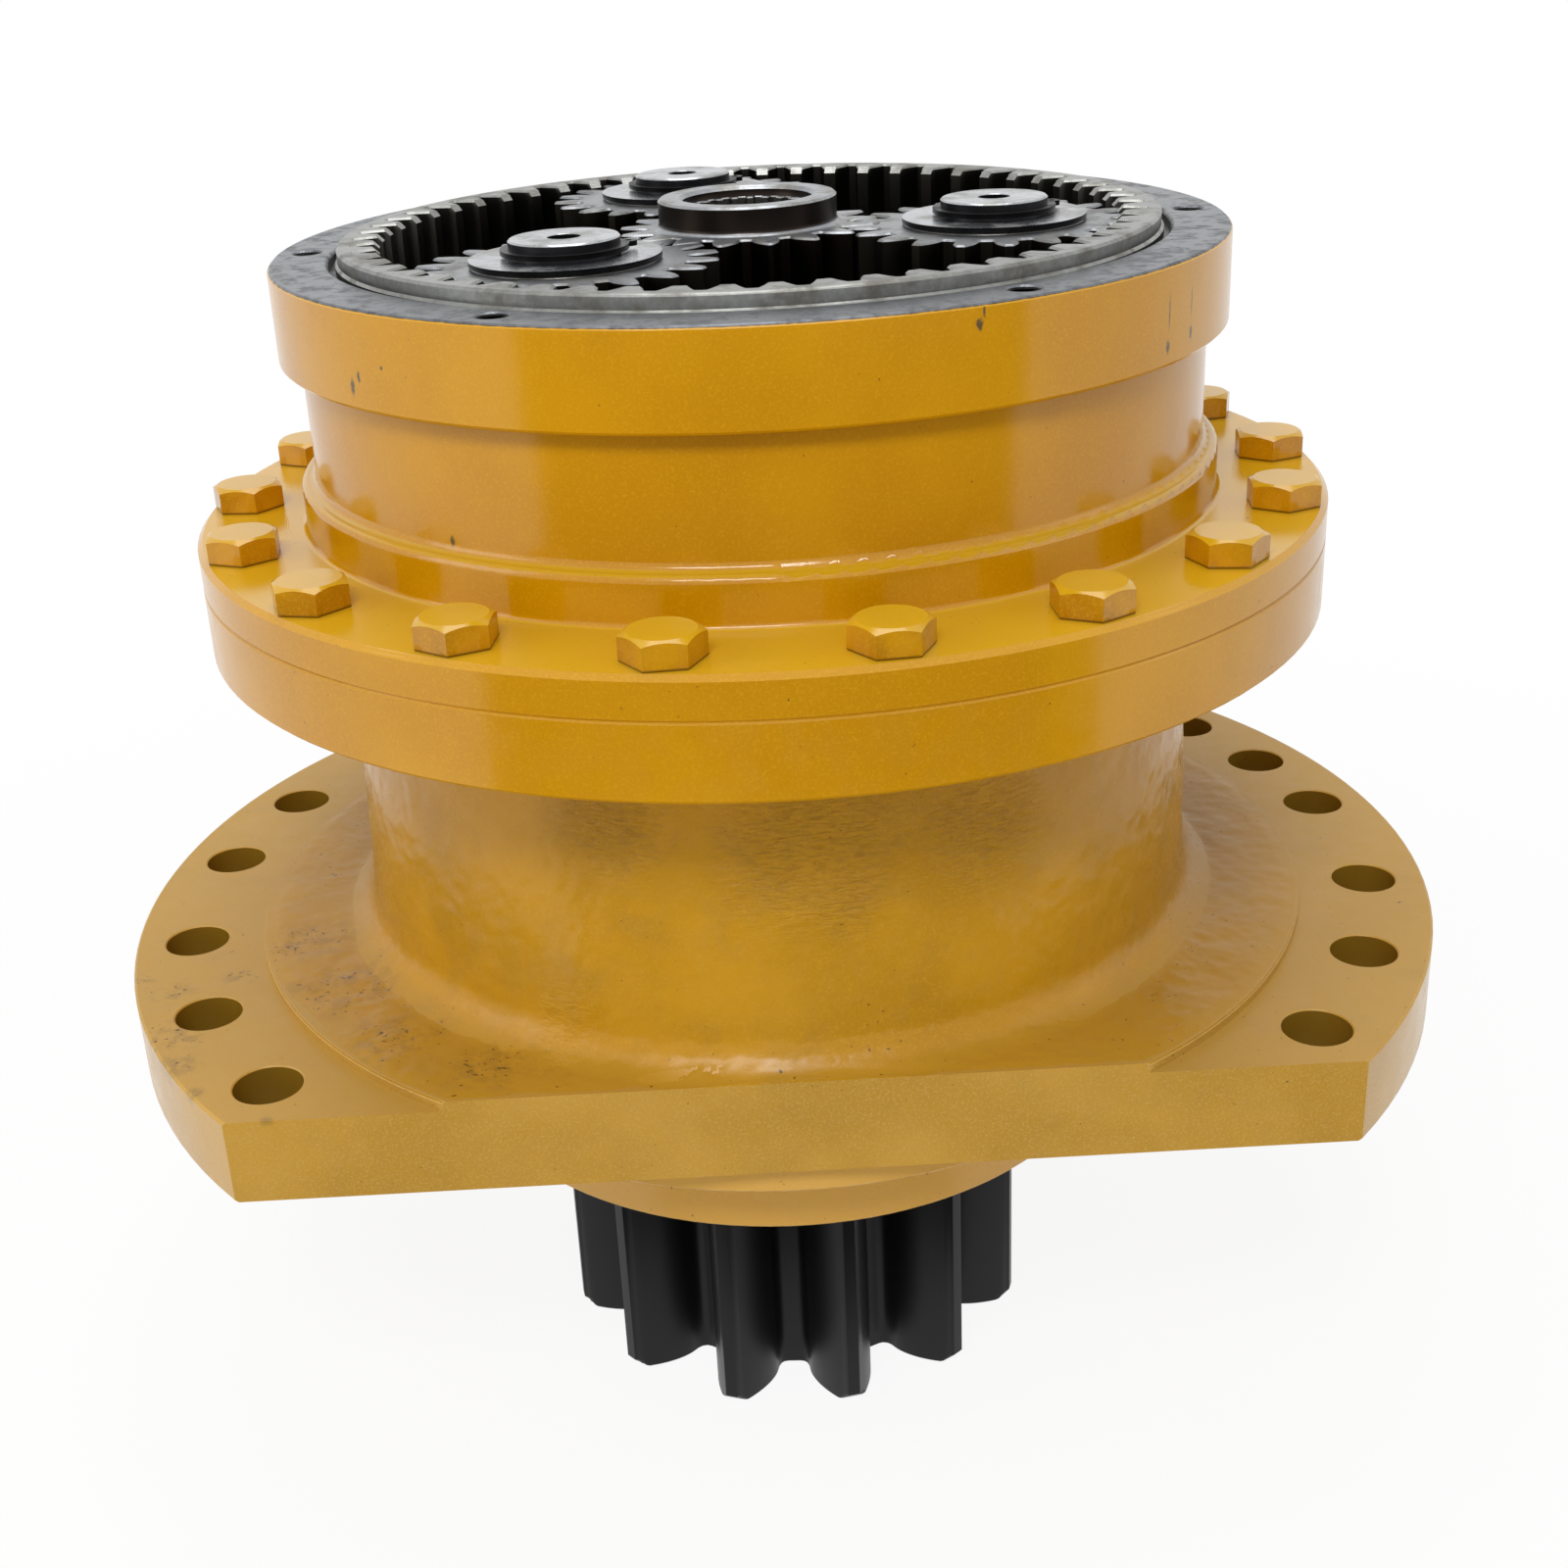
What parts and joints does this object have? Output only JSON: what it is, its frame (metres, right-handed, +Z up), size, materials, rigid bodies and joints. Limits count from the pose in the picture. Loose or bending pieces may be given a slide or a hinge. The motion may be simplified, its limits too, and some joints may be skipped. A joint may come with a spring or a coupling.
{
  "type": "excavator swing gearbox",
  "caption": "Two-stage planetary swing gearbox: open motor face with sun and planets in a ring gear, flanged cast housing and an output pinion below the foot",
  "frame": {"origin": "on the gearbox axis in the plane of the foot flange's mounting face", "axes": "+Z up along the axis to the motor face, +X parallel to the foot's two flats"},
  "size_m": [0.5498, 0.446, 0.5006],
  "materials": {
    "cast_housing": "ochre yellow gloss enamel over a rough casting",
    "painted_bolts": "ochre yellow gloss enamel",
    "gear_steel": "hardened gear steel, ground ends and oily black flanks",
    "ground_steel": "ground bearing steel",
    "carrier_iron": "machined dark iron with an oil film",
    "pinion_steel": "dark case-hardened steel, oiled",
    "spring_steel": "blackened spring steel",
    "bronze": "plain bronze",
    "seal_rubber": "black nitrile rubber"
  },
  "bodies": {
    "housing": {"lower_housing": "cast_housing", "housing_bolt_flange": "cast_housing", "housing_foot": "cast_housing", "ring_gear_case": "cast_housing", "case_bolts": "painted_bolts", "ring_gear": "gear_steel", "ring_gear_dowels": "ground_steel", "case_o_ring": "seal_rubber", "upper_bearing_outer_ring": "ground_steel", "lower_bearing_outer_ring": "ground_steel", "oil_seal": "seal_rubber", "seal_carrier": "carrier_iron", "snap_ring": "spring_steel", "drain_plug": "ground_steel", "drain_plug_washer": "bronze"},
    "output": {"carrier_2": "carrier_iron", "pinion_shaft": "pinion_steel", "planet_pin_2a": "ground_steel", "planet_pin_2b": "ground_steel", "planet_pin_2c": "ground_steel", "circlips_2": "spring_steel", "thrust_washers_2_upper": "ground_steel", "thrust_washers_2_lower": "ground_steel", "roll_pins_2": "spring_steel", "retaining_plate": "carrier_iron", "retaining_bolts": "spring_steel", "thrust_pad": "bronze", "upper_bearing_inner_ring": "ground_steel", "lower_bearing_inner_ring": "ground_steel", "bearing_locknut": "carrier_iron", "lock_washer": "ground_steel", "wear_sleeve": "ground_steel"},
    "first_carrier": {"carrier_1": "carrier_iron", "sun_gear_2": "gear_steel", "planet_pin_1a": "ground_steel", "planet_pin_1b": "ground_steel", "planet_pin_1c": "ground_steel", "circlips_1": "spring_steel", "thrust_washers_1_upper": "ground_steel", "thrust_washers_1_lower": "ground_steel", "roll_pins_1": "spring_steel", "sun_1_thrust_washer": "bronze"},
    "first_sun": {"sun_gear_1": "gear_steel"},
    "upper_rollers": {"upper_bearing_rollers": "ground_steel"},
    "lower_rollers": {"lower_bearing_rollers": "ground_steel"},
    "planet_1a": {"planet_gear_1a": "gear_steel"},
    "needles_1a": {"needle_bearing_1a": "ground_steel"},
    "planet_1b": {"planet_gear_1b": "gear_steel"},
    "needles_1b": {"needle_bearing_1b": "ground_steel"},
    "planet_1c": {"planet_gear_1c": "gear_steel"},
    "needles_1c": {"needle_bearing_1c": "ground_steel"},
    "planet_2a": {"planet_gear_2a": "gear_steel"},
    "needles_2a": {"needle_bearing_2a": "ground_steel"},
    "planet_2b": {"planet_gear_2b": "gear_steel"},
    "needles_2b": {"needle_bearing_2b": "ground_steel"},
    "planet_2c": {"planet_gear_2c": "gear_steel"},
    "needles_2c": {"needle_bearing_2c": "ground_steel"}
  },
  "joints": [
    {"name": "output_spin", "type": "hinge", "parent": "housing", "child": "output", "pos_m": [0, 0, -0.1], "axis": [0, 0, 1], "continuous": true},
    {"name": "first_carrier_spin", "type": "hinge", "parent": "housing", "child": "first_carrier", "pos_m": [0, 0, 0.255], "axis": [0, 0, 1], "continuous": true},
    {"name": "first_sun_spin", "type": "hinge", "parent": "housing", "child": "first_sun", "pos_m": [0, 0, 0.29], "axis": [0, 0, 1], "continuous": true},
    {"name": "upper_rollers_spin", "type": "hinge", "parent": "housing", "child": "upper_rollers", "pos_m": [0, 0, 0.112], "axis": [0, 0, 1], "continuous": true},
    {"name": "lower_rollers_spin", "type": "hinge", "parent": "housing", "child": "lower_rollers", "pos_m": [0, 0, 0], "axis": [0, 0, 1], "continuous": true},
    {"name": "planet_1a_spin", "type": "hinge", "parent": "first_carrier", "child": "planet_1a", "pos_m": [-0.02571, 0.09146, 0.29], "axis": [0, 0, 1], "continuous": true},
    {"name": "needles_1a_spin", "type": "hinge", "parent": "first_carrier", "child": "needles_1a", "pos_m": [-0.02571, 0.09146, 0.29], "axis": [0, 0, 1], "continuous": true},
    {"name": "planet_1b_spin", "type": "hinge", "parent": "first_carrier", "child": "planet_1b", "pos_m": [-0.06635, -0.06799, 0.29], "axis": [0, 0, 1], "continuous": true},
    {"name": "needles_1b_spin", "type": "hinge", "parent": "first_carrier", "child": "needles_1b", "pos_m": [-0.06635, -0.06799, 0.29], "axis": [0, 0, 1], "continuous": true},
    {"name": "planet_1c_spin", "type": "hinge", "parent": "first_carrier", "child": "planet_1c", "pos_m": [0.09206, -0.02346, 0.29], "axis": [0, 0, 1], "continuous": true},
    {"name": "needles_1c_spin", "type": "hinge", "parent": "first_carrier", "child": "needles_1c", "pos_m": [0.09206, -0.02346, 0.29], "axis": [0, 0, 1], "continuous": true},
    {"name": "planet_2a_spin", "type": "hinge", "parent": "output", "child": "planet_2a", "pos_m": [0.04875, 0.08444, 0.215], "axis": [0, 0, 1], "continuous": true},
    {"name": "needles_2a_spin", "type": "hinge", "parent": "output", "child": "needles_2a", "pos_m": [0.04875, 0.08444, 0.215], "axis": [0, 0, 1], "continuous": true},
    {"name": "planet_2b_spin", "type": "hinge", "parent": "output", "child": "planet_2b", "pos_m": [-0.0975, 0, 0.215], "axis": [0, 0, 1], "continuous": true},
    {"name": "needles_2b_spin", "type": "hinge", "parent": "output", "child": "needles_2b", "pos_m": [-0.0975, 0, 0.215], "axis": [0, 0, 1], "continuous": true},
    {"name": "planet_2c_spin", "type": "hinge", "parent": "output", "child": "planet_2c", "pos_m": [0.04875, -0.08444, 0.215], "axis": [0, 0, 1], "continuous": true},
    {"name": "needles_2c_spin", "type": "hinge", "parent": "output", "child": "needles_2c", "pos_m": [0.04875, -0.08444, 0.215], "axis": [0, 0, 1], "continuous": true}
  ],
  "couplings": [
    {"joint": "first_carrier_spin", "follows": "output_spin", "ratio": 3.9},
    {"joint": "first_sun_spin", "follows": "output_spin", "ratio": 17.206},
    {"joint": "upper_rollers_spin", "follows": "output_spin", "ratio": 0.43069},
    {"joint": "lower_rollers_spin", "follows": "output_spin", "ratio": 0.43262},
    {"joint": "planet_1a_spin", "follows": "output_spin", "ratio": -11.31},
    {"joint": "needles_1a_spin", "follows": "output_spin", "ratio": -6.2833},
    {"joint": "planet_1b_spin", "follows": "output_spin", "ratio": -11.31},
    {"joint": "needles_1b_spin", "follows": "output_spin", "ratio": -6.2833},
    {"joint": "planet_1c_spin", "follows": "output_spin", "ratio": -11.31},
    {"joint": "needles_1c_spin", "follows": "output_spin", "ratio": -6.2833},
    {"joint": "planet_2a_spin", "follows": "output_spin", "ratio": -3.0526},
    {"joint": "needles_2a_spin", "follows": "output_spin", "ratio": -1.7059},
    {"joint": "planet_2b_spin", "follows": "output_spin", "ratio": -3.0526},
    {"joint": "needles_2b_spin", "follows": "output_spin", "ratio": -1.7059},
    {"joint": "planet_2c_spin", "follows": "output_spin", "ratio": -3.0526},
    {"joint": "needles_2c_spin", "follows": "output_spin", "ratio": -1.7059}
  ]
}
